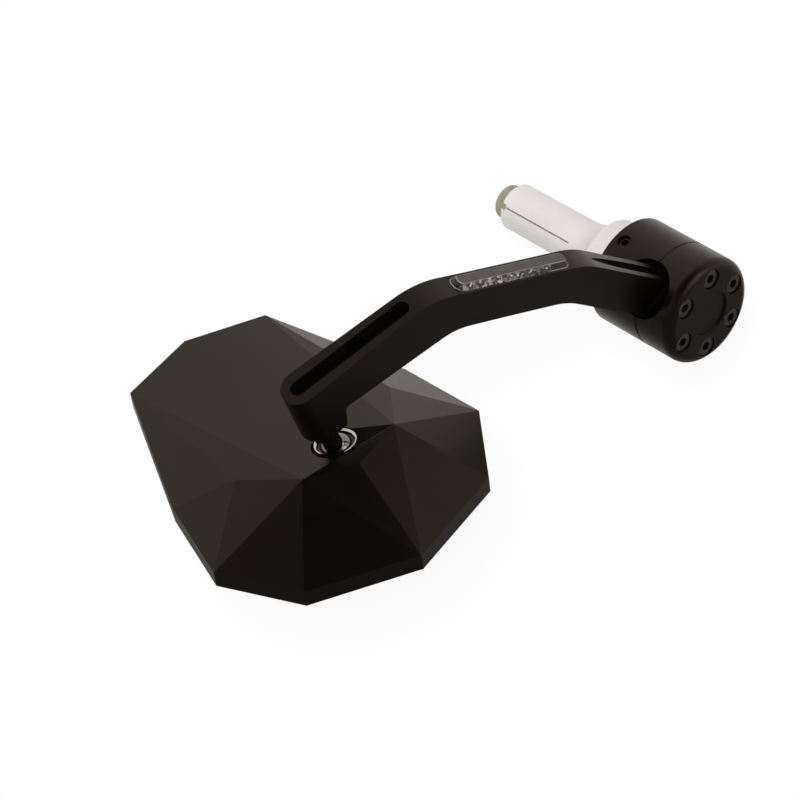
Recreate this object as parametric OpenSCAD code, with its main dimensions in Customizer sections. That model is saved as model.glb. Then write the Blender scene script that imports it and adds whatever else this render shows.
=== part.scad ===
// Bar end mirror with a jointed arm, a row of signal lights and a faceted head.
// Millimetres. The bar axis is X, outboard positive. The arm leaves the clamp along Z.

/* [Shown] */
// Sub-part to draw on its own, or all

/* [Bar spigot] */
// Diameter of the slotted sleeve that goes into the bar
sleeve_d = 14.2; // [12:0.1:20]
// Straight slotted length of the sleeve
sleeve_len = 28.4; // [20:0.1:50]
// Width of each of the four slots
slot_w = 0.5; // [0.3:0.1:1.5]
// Turn of the slots about the bar axis
slot_turn = 6; // [0:0.5:89]
// Radius of the hollow flare behind the slots
flare_r = 14.4; // [8:0.1:30]
// Diameter of the flange that the head seats on
flange_d = 24; // [18:0.1:30]
// Distance from the slot ends to the back face of the head
head_x = 18.8; // [12:0.1:30]
// Depth of the recess in the head that takes the flange
flange_seat = 1.5; // [1:0.1:4]
// Small end diameter of the cone nut, inside the sleeve
cone_small_d = 7.8; // [7:0.1:10]
// Large end diameter of the cone nut
cone_large_d = 10.4; // [9:0.1:12]
// Length of the taper of the cone nut
cone_taper = 10; // [6:0.1:16]
// How far the cone nut stands out of the sleeve
cone_out = 3.9; // [1:0.1:8]
// Width of the two keys of the cone nut
key_w = 1.8; // [1:0.1:3]
// Reach of the keys into the sleeve's tip
key_in = 2; // [1:0.1:4]
// Height of the two keys of the cone nut over its rim
key_h = 1.6; // [0.8:0.1:2.2]
// Diameter of the expander bolt
bolt_d = 6; // [5:0.1:8]
// Diameter of the expander bolt's head
bolt_head_d = 10; // [8.5:0.1:11]
// Height of the expander bolt's head
bolt_head_h = 4; // [3:0.1:6]
// Cable hole through the expander bolt, the ball and the arm
cable_d = 2.2; // [1.5:0.1:3]
// Thickness of the bolt's washer
washer_t = 0.9; // [0.5:0.1:2]
// Web of the head between flange and washer
web_t = 2.5; // [1.5:0.1:4]

/* [Clamp head] */
// Diameter of the head
head_d = 32; // [28:0.1:40]
// Length of the rear half, back face to split
rear_len = 17.8; // [15:0.1:26]
// Length of the front half, split to front face
front_len = 13; // [11:0.1:20]
// Rounding of the front rim
front_round = 3; // [1:0.1:5]
// Bevel at both sides of the split
split_bevel = 0.35; // [0.1:0.05:1]
// Circle diameter of the cap screws
screw_pcd = 22.2; // [20:0.1:26]
// Thread diameter of the cap screws
screw_d = 3; // [2.5:0.1:4]
// Head diameter of the cap screws
screw_head_d = 5.5; // [4.5:0.1:7]
// Length of the five through screws under the head
screw_len = 16; // [10:0.5:22]
// Length of the short screw in front of the window
window_screw_len = 0.9; // [0.5:0.1:2]
// Depth of the front face over the screw heads
screw_sink = 0.5; // [0:0.1:2]
// Diameter of the shallow dish in the front face
dish_d = 13.8; // [8:0.1:16]
// Depth of the dish
dish_h = 0.6; // [0.2:0.1:1.5]
// Diameter of the arm window at the surface of the head
window_d = 17.8; // [15:0.1:22]
// Diameter of the arm window at its inner lip
window_lip_d = 13.8; // [12:0.1:15.6]
// Diameter of the locking grub screw
grub_d = 4; // [3:0.1:5]
// Length of the grub screw
grub_len = 6; // [4:0.5:9]
// Place of the grub screw behind the back face
grub_x = 3.9; // [3:0.1:8]
// Turn of the grub screw about the bar axis, from the arm
grub_turn = 33; // [0:1:90]

/* [Arm] */
// Diameter of the arm's ball
arm_ball_d = 15.8; // [12:0.1:18]
// Wall of the friction liner round the ball
liner_t = 0.75; // [0.5:0.05:1.5]
// Running clearance of the ball in its liner
ball_clear = 0.05; // [0.02:0.01:0.1]
// Width of the arm at its round end
arm_w = 10.2; // [8:0.1:14]
// Width of the arm at the second bend
arm_mid_w = 7.8; // [6.5:0.1:12]
// Width of the first two legs
arm_leg_w = 7.4; // [6.5:0.1:12]
// Height of the turned flat under the ball
ball_flat = 0.3; // [0.1:0.1:1]
// Turn of the arm's plane about its exit from the head
arm_yaw = 14.5; // [0:0.5:40]
// Diameter of the round neck above the ball
neck_d = 10; // [8:0.1:11]
// Height at which the square section starts
neck_len = 12.4; // [10:0.1:16]
// Distance from the bar's plane to the first leg's top face
leg_top = 5.9; // [4:0.1:8]
// Thickness of the first two legs
leg_t = 12.4; // [10:0.1:16]
// Height of the first bend on the top face
bend1_z = 50; // [35:0.1:60]
// Lean of the second leg
leg2_lean = 21.5; // [5:0.5:40]
// Length of the second leg on the top face
leg2_len = 53; // [50:0.1:70]
// Lean of the third leg
leg3_lean = 58.5; // [40:0.1:80]
// Length of the third leg on the top face, to the boss axis
leg3_len = 40.6; // [37:0.1:60]
// Outer radius of the first bend
bend1_r = 26; // [18:1:34]
// Inner radius of the first bend
bend1_low_r = 24; // [14:1:30]
// Outer radius of the second bend
bend2_r = 20; // [12:1:28]
// Inner radius of the second bend
bend2_low_r = 16; // [8:1:20]
// Thickness of the third leg at the boss
leg3_t = 12.4; // [10:0.1:16]
// Slope of the third leg's lower face
leg3_flare = 6.5; // [0:0.5:10]
// Height of the boss from the top face
boss_h = 20; // [18:0.1:22]
// Outward lean of the boss's round end
boss_lean = 3; // [0:0.5:5]
// Chamfer round the foot of the boss
boss_cut = 0.9; // [0.3:0.1:1.5]
// Slope of the boss's inner wall
boss_slope = 16; // [5:1:25]
// Width of the long pocket
pocket_w = 4.4; // [2:0.1:6]
// Depth of the long pocket
pocket_h = 5.5; // [2:0.1:7]
// Length of the long pocket between its end centres
pocket_len = 33.5; // [10:0.5:36]
// Width of the short pocket beside the head
notch_w = 3.6; // [2:0.1:5]
// Length of the short pocket beside the head
notch_len = 33; // [10:0.5:35]
// Depth of the short pocket at its end
notch_h = 3; // [1:0.1:4]

/* [Signal light] */
// Distance from the first bend to the lens
lens_start = 4.8; // [4:0.1:5.5]
// Length of the lens
lens_len = 38.6; // [20:0.1:44]
// Width of the lens
lens_w = 6; // [5:0.1:7]
// Height of the lens over the arm
lens_out = 1.5; // [0.5:0.1:3]
// Bevel of the lens, seen from above
lens_bevel = 1.4; // [0.5:0.1:2]
// Corner radius of the lens
lens_r = 2.7; // [2:0.1:3]
// Depth of the lens seat in the arm
lens_seat = 1; // [0.6:0.1:2]
// Wall of the lens
lens_wall = 0.7; // [0.5:0.1:1]
// Depth of the light pocket under the arm's top face
light_h = 4; // [3:0.1:5]
// Thickness of the circuit board
board_t = 0.8; // [0.5:0.1:1.6]
// Number of light chips
chip_n = 9; // [3:1:14]
// Side of a light chip
chip_w = 1.6; // [1:0.1:2]
// Height of a light chip
chip_h = 0.8; // [0.4:0.1:1.5]

/* [Ball stud] */
// Diameter of the mirror's ball
stud_ball_d = 9.6; // [8:0.1:10]
// Diameter of the stud's neck
stud_neck_d = 5.2; // [4:0.1:6]
// Diameter of the stud's shank in the boss
stud_shank_d = 6; // [4:0.1:7]
// Length of the shank in the boss
stud_shank_len = 9; // [5:0.1:11]
// Distance from the arm's top face to the ball's centre
stud_reach = 34.7; // [32.5:0.1:45]
// Height of the hexagon under the boss
stud_hex_h = 2.2; // [1:0.1:4]

/* [Mirror head] */
// Tilt of the mirror about the arm's width
mirror_tilt_x = -49.2; // [-70:0.1:-30]
// Tilt of the mirror about its short side
mirror_tilt_y = -1.7; // [-10:0.1:10]
// Turn of the mirror
mirror_turn = 8.2; // [-20:0.05:30]
// Distance from the collar to the long corner
reach_long = 76; // [50:0.1:100]
// Distance from the collar to the short corner
reach_short = 35.4; // [30:0.1:60]
// Half width of the mirror head
half_w = 44.5; // [35:0.1:60]
// Depth of the roof, collar to rim
roof_h = 15.7; // [11:0.1:22]
// Height of the rim wall
rim_h = 5.3; // [4.5:0.1:8]
// Wall of the shell
shell_wall = 2; // [1.2:0.1:3]
// Ledge that the backing pad lies on
ledge_w = 1.6; // [1:0.1:4]
// Half width of the roof's top triangle
crown_w = 15.1; // [12:0.1:20]
// Distance from the collar's centre to the crown line
crown_x = 6.2; // [6.2:0.1:8]
// Thickness of the mirror glass
glass_t = 2; // [1.5:0.1:3]
// Depth of the glass in the rim
glass_sink = 0.4; // [0:0.1:1]
// Width of the seal round the glass
seal_w = 0.5; // [0.3:0.1:1]
// Thickness of the backing pad
pad_t = 1; // [0.5:0.1:2]

/* [Socket] */
// Outside diameter of the bright collar
collar_d = 11.8; // [11:0.1:13]
// Height of the collar over the roof
collar_out = 0.4; // [0.1:0.1:1]
// Bevel inside the collar's lip
collar_bevel = 0.7; // [0.3:0.1:1]
// Width of the recess round the collar
recess_w = 0.8; // [0.3:0.1:1.2]
// Depth of the recess round the collar
recess_h = 0.8; // [0.3:0.1:1.2]
// Diameter of the collar's hidden flange
collar_flange_d = 15; // [14:0.1:18]
// Thickness of the collar's hidden flange
collar_flange_t = 1.6; // [1:0.1:2]
// Depth of the ball's centre under the collar's seat plane
ball_drop = 2.6; // [2:0.1:4]
// Wall of the socket's liner
socket_liner_t = 0.85; // [0.6:0.05:1.5]
// Diameter of the socket boss inside the shell
socket_boss_d = 21; // [19:0.1:25]
// Thickness of the spring washer
spring_t = 0.6; // [0.3:0.1:1]
// Hole of the spring washer
spring_hole_d = 10; // [8:0.1:11]
// Thickness of the plate that closes the socket
plate_t = 1.4; // [1:0.1:2]
// Diameter of the plate's screws
plate_screw_d = 2; // [1.6:0.1:2.5]
// Length of the plate's screws
plate_screw_len = 5; // [3:0.5:6]

/* [Fits] */
// Running clearance of turning pieces, on the radius
run_clear = 0.06; // [0.02:0.01:0.1]
// Clearance of pieces that are fixed together
seat_clear = 0.02; // [0:0.01:0.05]
// Air between pieces that turn against each other
air = 0.1; // [0.05:0.05:0.3]

/* [Hidden] */
$fn = 64;
e = 0.01;
sleeve_r = sleeve_d / 2;
flange_r = flange_d / 2;
flare_end = sqrt(pow(flare_r, 2) - pow(flare_r - (flange_r - sleeve_r), 2));
seat_x = head_x + flange_seat;
washer_x = seat_x + web_t;
bolt_x = washer_x + washer_t + air;
ball_x = head_x + rear_len;
face_x = ball_x + front_len;
tip_x = -sleeve_len - cone_out;
arm_ball_r = arm_ball_d / 2;
liner_in = arm_ball_r + ball_clear;
liner_out = liner_in + liner_t;
cavity_r = liner_out + ball_clear;
window_lip_z = sqrt(pow(cavity_r, 2) - pow(window_lip_d / 2, 2));
screw_r = screw_pcd / 2;
screw_head_h = screw_d;
screw_x = face_x - screw_sink - screw_head_h;
bend2_u = leg_top - leg2_len * sin(leg2_lean);
bend2_z = bend1_z + leg2_len * cos(leg2_lean);
boss_u = bend2_u - leg3_len * sin(leg3_lean);
boss_z = bend2_z + leg3_len * cos(leg3_lean);
boss_tilt = leg3_lean - 90;
led_at = lens_start + lens_len / 2;
stud_ball_r = stud_ball_d / 2;
socket_in = stud_ball_r + ball_clear;
socket_out = socket_in + socket_liner_t;
socket_seat = socket_out + ball_clear;
slope = atan((crown_z() + roof_h) / (crown_x + reach_long));
cup_top = -ball_drop - 1.2;
cup_low = -ball_drop - socket_seat + 0.2;
spring_low = cup_low - spring_t - 0.1;
plate_top = spring_low - 0.1;
rim = [[-reach_long, 0], [-reach_long + 7, half_w * 0.524], [-23.8, half_w * 0.886],
  [3.2, half_w], [reach_short - 10.3, half_w * 0.69], [reach_short, 0],
  [reach_short - 10.3, -half_w * 0.69], [3.2, -half_w], [-23.8, -half_w * 0.886],
  [-reach_long + 7, -half_w * 0.524]];
crown = [[crown_x, crown_w, crown_z()], [crown_x + 4.5, 0, 0.2], [crown_x, -crown_w, crown_z()],
  [-11, 25.9, -0.288 * roof_h], [-11, -25.9, -0.288 * roof_h]];

function crown_z() = crown_x * roof_h / reach_long;
function unit(v) = v / norm(v);
function turned(v) = [-v[1], v[0]];
function side(p, i) = unit(p[(i + 1) % len(p)] - p[i % len(p)]);
function inset(p, d) = [for (i = [0 : len(p) - 1])
  let (a = -turned(side(p, i + len(p) - 1)), b = -turned(side(p, i)))
  p[i] + d * (a + b) / (1 + a * b)];
function arc_points(p, c, q, r, n = 8) =
  let (a = unit(p - c), b = unit(q - c), half = acos(a * b) / 2,
    run = r / tan(half), m = c + unit(a + b) * r / sin(half),
    s = c + a * run - m, w = sign(a[0] * b[1] - a[1] * b[0]) * (180 - 2 * half))
  [for (i = [0 : n]) let (g = -w * i / n) m + [s[0] * cos(g) - s[1] * sin(g), s[0] * sin(g) + s[1] * cos(g)]];
function soft(path) = [for (i = [0 : len(path) - 1])
  let (k = len(path), p = path[(i + k - 1) % k], c = path[i], q = path[(i + 1) % k])
  each (c[2] == 0 ? [[c[0], c[1]]] :
    arc_points([p[0], p[1]], [c[0], c[1]], [q[0], q[1]], c[2]))];

// Frames
module along_x(x = 0) {
  translate([x, 0, 0]) rotate([0, 90, 0]) children();
}
module at_arm() {
  translate([ball_x, 0, 0]) rotate([0, 0, -arm_yaw]) children();
}
module at_boss() {
  at_arm() translate([0, boss_u, boss_z]) rotate([boss_tilt, 0, 0]) children();
}
module at_light() {
  at_arm()
    translate([0, leg_top - led_at * sin(leg2_lean), bend1_z + led_at * cos(leg2_lean)])
      rotate([leg2_lean - 90, 0, 0]) children();
}
module at_stud_ball() {
  at_boss() translate([0, 0, -stud_reach]) children();
}
module at_mirror() {
  at_stud_ball() rotate([-boss_tilt, 0, 0]) rotate([mirror_tilt_x, mirror_tilt_y, mirror_turn])
    translate([-ball_drop * sin(slope), 0, ball_drop * cos(slope)]) children();
}
module at_collar() {
  at_mirror() rotate([0, -slope, 0]) children();
}
module on_screw_circle(list) {
  for (a = list) rotate([a, 0, 0]) translate([0, 0, screw_r]) children();
}

// Outlines
module round_bar(l, w, r) {
  for (x = [-1, 1]) for (y = [-1, 1])
    translate([x * (w / 2 - r), y * (l / 2 - r)]) circle(r);
  square([w, l - 2 * r], center = true);
  square([w - 2 * r, l], center = true);
}
module hexagon_hole(af, h) {
  rotate([0, 0, 30]) cylinder(d = af / cos(30), h = h, $fn = 6);
}
module roof(out, drop, top, low) {
  base = inset(rim, out);
  n = len(base);
  points = concat([for (p = base) [p[0], p[1], low]], [for (p = base) [p[0], p[1], top]],
    [for (p = crown) [p[0], p[1] - sign(p[1]) * out * 0.4, p[2] - drop]]);
  bottom = [[for (i = [0 : n - 1]) n - 1 - i]];
  walls = [for (i = [0 : n - 1]) [i, (i + 1) % n, (i + 1) % n + n, i + n]];
  b = n; c = n + 1; k = n + 2; d = n + 3; f = n + 4; g = n + 5; h = n + 6; i = n + 7; j = n + 8;
  a = n + 9; p3 = 2 * n; p2 = 2 * n + 1; p1 = 2 * n + 2; u = 2 * n + 3; v = 2 * n + 4;
  slopes = [[b, c, p3], [c, u, p3], [c, k, u], [k, d, u], [u, d, p3], [d, f, p3], [f, g, p3],
    [p3, g, p2], [p2, g, p1], [g, h, p1], [h, i, p1], [p1, i, v], [i, j, v], [j, a, v],
    [v, a, p1], [a, b, p1], [b, p3, p1], [p3, p2, p1]];
  polyhedron(points = points, faces = concat(bottom, walls, slopes), convexity = 4);
}

// Bar spigot
module expander_sleeve() {
  color([0.86, 0.85, 0.84]) difference() {
    union() {
      along_x(-sleeve_len + 1) cylinder(r = sleeve_r, h = sleeve_len);
      along_x(-sleeve_len) cylinder(r1 = sleeve_r - 0.8, r2 = sleeve_r, h = 1);
      difference() {
        along_x() cylinder(r = flange_r, h = flare_end);
        along_x() rotate_extrude() translate([sleeve_r + flare_r, 0]) circle(flare_r);
      }
      along_x(flare_end) cylinder(r = flange_r, h = seat_x - flare_end);
    }
    along_x(-sleeve_len - e) cylinder(d = bolt_d + 2 * run_clear, h = sleeve_len + seat_x + 2 * e);
    along_x(-sleeve_len - e)
      cylinder(d1 = cone_large_d + 2 * run_clear, d2 = cone_small_d + 2 * run_clear, h = cone_taper + e);
    along_x(-sleeve_len) cylinder(d = cone_small_d + 2 * run_clear, h = cone_taper + 1);
    for (a = [0, 90]) rotate([a + slot_turn, 0, 0])
      translate([-sleeve_len - e, -slot_w / 2, -sleeve_r]) cube([sleeve_len, slot_w, sleeve_d]);
    for (a = [0, 180]) rotate([a + slot_turn, 0, 0])
      translate([-sleeve_len - e, -key_w / 2, 0]) cube([key_in + air + e, key_w, sleeve_r]);
  }
}
module expander_cone() {
  color([0.62, 0.59, 0.53]) difference() {
    union() {
      along_x(tip_x) cylinder(d1 = cone_large_d - 1, d2 = cone_large_d, h = 0.5);
      along_x(tip_x + 0.5) cylinder(d = cone_large_d, h = cone_out - 0.5);
      along_x(-sleeve_len) cylinder(d1 = cone_large_d, d2 = cone_small_d, h = cone_taper);
      for (a = [0, 180]) rotate([a + slot_turn, 0, 0])
        translate([tip_x + 1, -key_w / 2 + run_clear, 0])
          cube([cone_out - 1 + key_in, key_w - 2 * run_clear, cone_large_d / 2 + key_h / 2]);
    }
    along_x(tip_x - e) cylinder(d = bolt_d + 2 * run_clear, h = cone_out + cone_taper + 1);
  }
}
module expander_bolt() {
  color([0.55, 0.55, 0.56]) difference() {
    union() {
      along_x(tip_x + 0.8) cylinder(d = bolt_d, h = bolt_x - tip_x - 0.8);
      along_x(bolt_x) cylinder(d = bolt_head_d, h = bolt_head_h);
    }
    along_x(bolt_x + bolt_head_h - 2.4) hexagon_hole(5, 3);
    along_x(tip_x) cylinder(d = cable_d, h = bolt_x - tip_x + bolt_head_h);
  }
}
module bolt_washer() {
  color([0.7, 0.7, 0.7]) along_x(washer_x) difference() {
    cylinder(d = bolt_head_d + 0.8, h = washer_t);
    translate([0, 0, -e]) cylinder(d = bolt_d + 0.5, h = washer_t + 1);
  }
}

// Clamp head
module window_cut() {
  rise = head_d / 2 - window_lip_z;
  grow = (window_d - window_lip_d) / 2;
  translate([ball_x, 0, window_lip_z])
    cylinder(r1 = window_lip_d / 2, r2 = window_lip_d / 2 + grow, h = rise);
  translate([ball_x, 0, 0]) cylinder(r = window_lip_d / 2, h = window_lip_z + e);
}
module rear_clamp_half() {
  color([0.13, 0.12, 0.12]) difference() {
    union() {
      along_x(head_x) cylinder(d1 = head_d - 0.8, d2 = head_d, h = 0.4);
      along_x(head_x + 0.4) cylinder(d = head_d, h = rear_len - 0.4 - split_bevel);
      along_x(ball_x - split_bevel)
        cylinder(d1 = head_d, d2 = head_d - 2 * split_bevel, h = split_bevel);
    }
    along_x(head_x - e) cylinder(r = flange_r + run_clear, h = flange_seat + air);
    along_x(head_x) cylinder(d = bolt_d + 0.5, h = rear_len);
    along_x(washer_x) cylinder(d = bolt_head_d + 1.2, h = rear_len);
    translate([ball_x, 0, 0]) sphere(cavity_r);
    window_cut();
    on_screw_circle([60, 120, 180, 240, 300])
      along_x(screw_x - screw_len - 1) cylinder(d = screw_d + 2 * seat_clear, h = screw_len + 2);
    rotate([-grub_turn, 0, 0]) translate([head_x + grub_x, 0, 0])
      cylinder(d = grub_d + 2 * seat_clear, h = head_d);
  }
}
module front_clamp_half() {
  flat = face_x - front_round;
  color([0.13, 0.12, 0.12]) difference() {
    union() {
      along_x(ball_x)
        cylinder(d1 = head_d - 2 * split_bevel, d2 = head_d, h = split_bevel);
      along_x(ball_x + split_bevel) cylinder(d = head_d, h = flat - ball_x - split_bevel);
      along_x(flat) cylinder(d = head_d - 2 * front_round, h = front_round);
      along_x(flat) rotate_extrude() translate([head_d / 2 - front_round, 0]) circle(front_round);
    }
    translate([ball_x, 0, 0]) sphere(cavity_r);
    window_cut();
    along_x(face_x - dish_h) cylinder(d = dish_d, h = dish_h + 1);
    on_screw_circle([60, 120, 180, 240, 300]) {
      along_x(ball_x - 1) cylinder(d = screw_d + 0.3, h = front_len);
      along_x(screw_x) cylinder(d = screw_head_d + 0.4, h = front_len);
    }
    on_screw_circle([0]) {
      along_x(screw_x - window_screw_len - 0.1)
        cylinder(d = screw_d + 2 * seat_clear, h = front_len);
      along_x(screw_x) cylinder(d = screw_head_d + 0.4, h = front_len);
    }
  }
}
module cap_screw(l) {
  difference() {
    union() {
      along_x(screw_x - l) cylinder(d = screw_d, h = l + e);
      along_x(screw_x) cylinder(d = screw_head_d, h = screw_head_h);
    }
    along_x(screw_x + 1.2) hexagon_hole(2.5, screw_head_h);
  }
}
module clamp_screws() {
  color([0.1, 0.1, 0.1]) on_screw_circle([60, 120, 180, 240, 300]) cap_screw(screw_len);
}
module window_screw() {
  color([0.1, 0.1, 0.1]) on_screw_circle([0]) cap_screw(window_screw_len);
}
module grub_screw() {
  color([0.1, 0.1, 0.1])
    rotate([-grub_turn, 0, 0]) translate([head_x + grub_x, 0, head_d / 2 - 0.8 - grub_len])
      difference() {
        cylinder(d = grub_d, h = grub_len);
        translate([0, 0, grub_len - 2]) hexagon_hole(2, 3);
      }
}
module ball_liner(side_x) {
  color([0.8, 0.78, 0.7]) translate([ball_x, 0, 0]) difference() {
    sphere(liner_out);
    sphere(liner_in);
    translate([0, 0, 4.4 + cavity_r]) cube([50, 50, 2 * cavity_r], center = true);
    translate([-side_x * (25 - 0.3), 0, 0]) cube([50, 50, 50], center = true);
    rotate([0, -90, 0]) cylinder(d = 2 * cable_d + 1, h = 20);
  }
}
module ball_liner_rear() {
  ball_liner(-1);
}
module ball_liner_front() {
  ball_liner(1);
}

// Arm
function arm_outline() =
  let (cs = cos(leg3_lean), sn = sin(leg3_lean),
    top1 = [leg_top, bend1_z], n2 = [cos(leg2_lean), sin(leg2_lean)], n3 = [cs, sn],
    d2 = [-sin(leg2_lean), cos(leg2_lean)], back = [sn, -cs],
    end = [boss_u, boss_z],
    foot = end - n3 * boss_h, heel_h = leg3_t + 0.9,
    toe = foot + back * (arm_w / 2 + 0.2),
    heel = toe + n3 * (boss_h - heel_h) + back * (boss_h - heel_h) * tan(boss_slope),
    drop2 = [leg_top - leg_t, bend1_z - leg_t * tan(leg2_lean / 2)],
    lean3 = [sin(leg3_lean - leg3_flare), -cos(leg3_lean - leg3_flare)],
    k = ((drop2 - heel)[0] * d2[1] - (drop2 - heel)[1] * d2[0])
      / (lean3[0] * d2[1] - lean3[1] * d2[0]),
    inner2 = heel + lean3 * k)
  soft([[leg_top, neck_len, 0], [top1[0], top1[1], bend1_r], [bend2_u, bend2_z, bend2_r],
    [(end - back * arm_w)[0], (end - back * arm_w)[1], 0],
    [(foot - back * arm_w)[0], (foot - back * arm_w)[1], 0],
    [toe[0], toe[1], 0], [heel[0], heel[1], 1.6], [inner2[0], inner2[1], bend2_low_r],
    [drop2[0], drop2[1], bend1_low_r], [leg_top - leg_t, neck_len, 0]]);
module arm_width() {
  half = [for (w = [arm_w, arm_mid_w, arm_leg_w]) w / 2];
  far = leg2_len + leg3_len + bend1_z;
  at_boss() translate([0, 0, -far]) linear_extrude(2 * far) polygon([
    [half[0], -arm_w], [half[0], 3], [half[1], leg3_len], [half[2], leg3_len + 15], [half[2], far],
    [-half[2], far], [-half[2], leg3_len + 15], [-half[1], leg3_len], [-half[0], 3], [-half[0], -arm_w]]);
}
module round_end_cut() {
  r = arm_w / 2 + 0.02;
  at_boss() translate([0, 0.3, 0]) rotate([-boss_lean, 0, 0]) difference() {
    translate([-arm_w, -3 * arm_w, -2 * boss_h]) cube([2 * arm_w, 3 * arm_w, 3 * boss_h]);
    translate([0, 0, boss_cut - boss_h]) cylinder(r = r, h = 3 * boss_h);
    translate([0, 0, -boss_h]) cylinder(r1 = r - boss_cut, r2 = r, h = boss_cut);
    translate([0, 0, -3 * boss_h]) cylinder(r = r - boss_cut, h = 2 * boss_h);
  }
}
module mirror_arm() {
  color([0.13, 0.12, 0.12]) difference() {
    union() {
      at_arm() {
        sphere(arm_ball_r);
        cylinder(d = neck_d, h = neck_len + 1);
      }
      intersection() {
        at_arm() translate([-arm_w, 0, 0]) rotate([90, 0, 90])
          linear_extrude(2 * arm_w) polygon(arm_outline());
        arm_width();
      }
    }
    round_end_cut();
    at_arm() translate([0, 0, ball_flat - arm_ball_r - 5]) cylinder(r = 5, h = 5);
    at_arm() cylinder(d = cable_d, h = bend1_z + 8);
    at_arm() rotate([0, 0, arm_yaw]) rotate([0, -90, 0])
      cylinder(d = cable_d, h = arm_ball_d);
    at_arm() translate([0, leg_top + notch_w / 2 + 0.07, neck_len + notch_len])
      rotate([180 - atan(notch_h / notch_len), 0, 0]) cylinder(d = notch_w, h = notch_len * 1.2);
    at_boss() translate([0, pocket_len / 2, -pocket_h]) linear_extrude(pocket_h + 1)
      round_bar(pocket_len + pocket_w, pocket_w, pocket_w / 2 - 0.05);
    at_boss() translate([0, 0, -boss_h - e])
      cylinder(d = stud_shank_d + 2 * run_clear, h = stud_shank_len + 0.3);
    at_light() {
      translate([0, 0, -lens_seat]) linear_extrude(lens_seat + 1)
        round_bar(lens_len + 0.1, lens_w + 0.1, lens_r + 0.05);
      translate([0, 0, -light_h]) linear_extrude(light_h)
        round_bar(lens_len - 3, lens_w - 1.8, 1);
    }
  }
}

// Signal light
module bevel_bar(l, w, h, cut) {
  hull() {
    for (x = [-1, 1]) for (y = [-1, 1])
      translate([x * (w / 2 - lens_r), y * (l / 2 - lens_r), 0])
        cylinder(r1 = lens_r - 0.05, r2 = lens_r - cut, h = h, $fn = 24);
  }
}
module led_lens() {
  color([0.45, 0.44, 0.43, 0.5]) at_light() difference() {
    union() {
      translate([0, 0, -lens_seat]) linear_extrude(lens_seat) round_bar(lens_len, lens_w, lens_r);
      bevel_bar(lens_len, lens_w, lens_out, lens_bevel);
    }
    translate([0, 0, -lens_seat - e]) linear_extrude(lens_seat + 0.3)
      round_bar(lens_len - 2 * lens_wall - 2.6, lens_w - 2 * lens_wall - 1, 0.8);
  }
}
module led_board() {
  color([0.1, 0.25, 0.15]) at_light() translate([0, 0, -light_h])
    linear_extrude(board_t) round_bar(lens_len - 3.1, lens_w - 1.9, 0.9);
}
module led_reflector() {
  color([0.85, 0.85, 0.85]) at_light() translate([0, 0, -light_h + board_t])
    linear_extrude(light_h - board_t - lens_seat - 0.05) difference() {
      round_bar(lens_len - 3.1, lens_w - 1.9, 0.9);
      square([chip_w + 0.9, lens_len - 5], center = true);
    }
}
module led_chips() {
  step = (lens_len - 8) / chip_n;
  color([0.95, 0.9, 0.7]) at_light()
    for (i = [0 : chip_n - 1])
      translate([-chip_w / 2, (i - (chip_n - 1) / 2) * step - chip_w / 2, -light_h + board_t])
        cube([chip_w, chip_w, chip_h]);
}

// Ball stud
module ball_stud() {
  free = stud_reach - boss_h;
  color([0.8, 0.8, 0.8]) at_stud_ball() union() {
    difference() {
      sphere(stud_ball_r);
      translate([0, 0, -stud_ball_r + 0.5 - 5]) cylinder(r = 5, h = 5);
    }
    cylinder(d = stud_neck_d, h = free);
    translate([0, 0, free - air - stud_hex_h])
      cylinder(d = 8 / cos(30), h = stud_hex_h, $fn = 6);
    translate([0, 0, free - e - air]) cylinder(d = stud_shank_d, h = stud_shank_len + air);
  }
}

// Mirror head
module socket_collar() {
  color([0.8, 0.8, 0.8]) at_collar() difference() {
    union() {
      translate([0, 0, -shell_wall - e]) cylinder(d = collar_d, h = shell_wall + collar_out);
      translate([0, 0, -shell_wall - collar_flange_t]) cylinder(d = collar_flange_d, h = collar_flange_t);
    }
    translate([0, 0, collar_out - collar_bevel])
      cylinder(r1 = collar_d / 2 - 1, r2 = collar_d / 2 - 0.3, h = collar_bevel);
    translate([0, 0, -ball_drop]) sphere(socket_seat);
  }
}
module socket_liner() {
  color([0.85, 0.83, 0.76]) at_collar() translate([0, 0, -ball_drop]) difference() {
    sphere(socket_out);
    sphere(socket_in);
    translate([0, 0, 2 + 10]) cube([30, 30, 20], center = true);
    translate([0, 0, -3.9 - 10]) cube([30, 30, 20], center = true);
  }
}
module socket_cup() {
  color([0.6, 0.6, 0.6]) at_collar() difference() {
    translate([0, 0, cup_low]) cylinder(d = collar_flange_d, h = cup_top - cup_low);
    translate([0, 0, -ball_drop]) sphere(socket_seat);
  }
}
module spring_washer() {
  color([0.6, 0.6, 0.6]) at_collar() translate([0, 0, cup_low - spring_t - 0.05]) difference() {
    cylinder(d = collar_flange_d - 0.2, h = spring_t);
    translate([0, 0, -e]) cylinder(d = spring_hole_d, h = spring_t + 1);
  }
}
module plate_screw_spots() {
  for (a = [0, 120, 240]) rotate([0, 0, a + 30])
    translate([(socket_boss_d + collar_flange_d) / 4, 0, plate_top - plate_t]) children();
}
module socket_plate() {
  color([0.55, 0.55, 0.55]) at_collar() difference() {
    translate([0, 0, plate_top - plate_t]) cylinder(d = socket_boss_d, h = plate_t);
    plate_screw_spots() translate([0, 0, -e]) cylinder(d = plate_screw_d + 0.2, h = 3);
    plate_screw_spots() translate([0, 0, -e])
      cylinder(d1 = 2 * plate_screw_d, d2 = plate_screw_d, h = plate_screw_d / 2);
  }
}
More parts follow.
